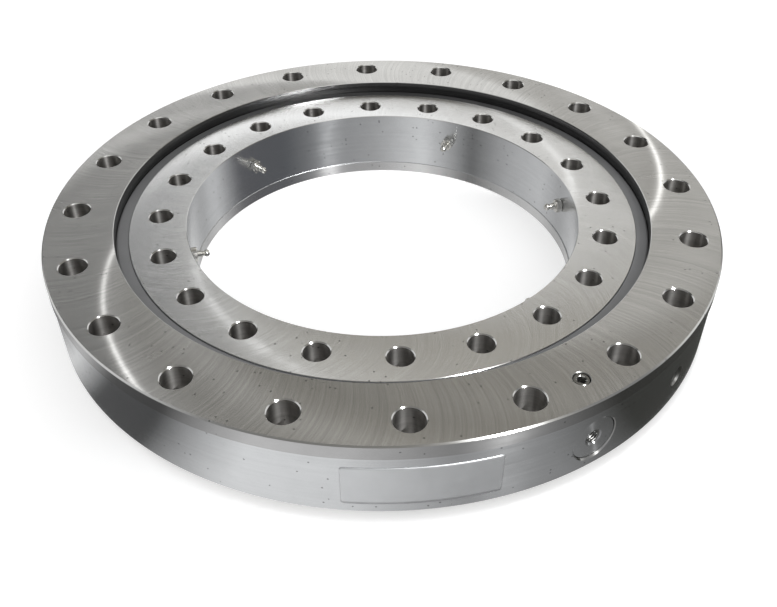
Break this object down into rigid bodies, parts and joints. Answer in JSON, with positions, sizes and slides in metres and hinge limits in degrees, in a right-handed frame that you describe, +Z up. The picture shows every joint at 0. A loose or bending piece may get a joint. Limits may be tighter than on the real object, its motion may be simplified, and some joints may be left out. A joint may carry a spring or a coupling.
{
  "type": "slewing ring bearing",
  "caption": "Single-row ball slewing ring: two thick drilled steel rings that turn on caged balls, with rubber seals, a filler plug and grease nipples in the bore.",
  "frame": {"origin": "centre of the inner ring's bottom face, on the axis of rotation, which is the lowest plane of the part", "axes": "+Z up along the axis of rotation, -Y the front with the label, a bolt hole of each ring on -Y at rest"},
  "size_m": [0.565, 0.565, 0.073],
  "materials": {
    "ring_steel": "turned and ground bare steel with a fine circular lay, fine scratches and bright edges",
    "ball_steel": "polished hardened steel with a film of grease",
    "plated_steel": "zinc plated steel, small turned parts",
    "seal_rubber": "matte nitrile rubber, dark grey, slightly greasy at the back",
    "cage_polyamide": "natural moulded polyamide",
    "label_film": "thin silver-grey film, satin, left blank"
  },
  "bodies": {
    "inner_ring": {"inner_ring": "ring_steel", "upper_seal": "seal_rubber", "grease_nipple_1": "plated_steel", "grease_nipple_2": "plated_steel", "grease_nipple_3": "plated_steel", "grease_nipple_4": "plated_steel", "grease_nipple_5": "plated_steel", "grease_nipple_6": "plated_steel"},
    "outer_ring": {"outer_ring": "ring_steel", "lower_seal": "seal_rubber", "filler_plug": "ring_steel", "plug_lock_screw": "plated_steel", "label": "label_film"},
    "ball_train": {"ball_cage": "cage_polyamide", "ball_01": "ball_steel", "ball_02": "ball_steel", "ball_03": "ball_steel", "ball_04": "ball_steel", "ball_05": "ball_steel", "ball_06": "ball_steel", "ball_07": "ball_steel", "ball_08": "ball_steel", "ball_09": "ball_steel", "ball_10": "ball_steel", "ball_11": "ball_steel", "ball_12": "ball_steel", "ball_13": "ball_steel", "ball_14": "ball_steel", "ball_15": "ball_steel", "ball_16": "ball_steel", "ball_17": "ball_steel", "ball_18": "ball_steel", "ball_19": "ball_steel", "ball_20": "ball_steel", "ball_21": "ball_steel", "ball_22": "ball_steel", "ball_23": "ball_steel", "ball_24": "ball_steel", "ball_25": "ball_steel", "ball_26": "ball_steel", "ball_27": "ball_steel", "ball_28": "ball_steel", "ball_29": "ball_steel", "ball_30": "ball_steel", "ball_31": "ball_steel", "ball_32": "ball_steel", "ball_33": "ball_steel", "ball_34": "ball_steel", "ball_35": "ball_steel", "ball_36": "ball_steel"}
  },
  "joints": [
    {"name": "outer_ring_turn", "type": "hinge", "parent": "inner_ring", "child": "outer_ring", "pos_m": [0, 0, 0.034], "axis": [0, 0, 1], "continuous": true},
    {"name": "ball_train_orbit", "type": "hinge", "parent": "inner_ring", "child": "ball_train", "pos_m": [0, 0, 0.034], "axis": [0, 0, 1], "continuous": true}
  ],
  "couplings": [
    {"joint": "ball_train_orbit", "follows": "outer_ring_turn", "ratio": 0.524}
  ]
}
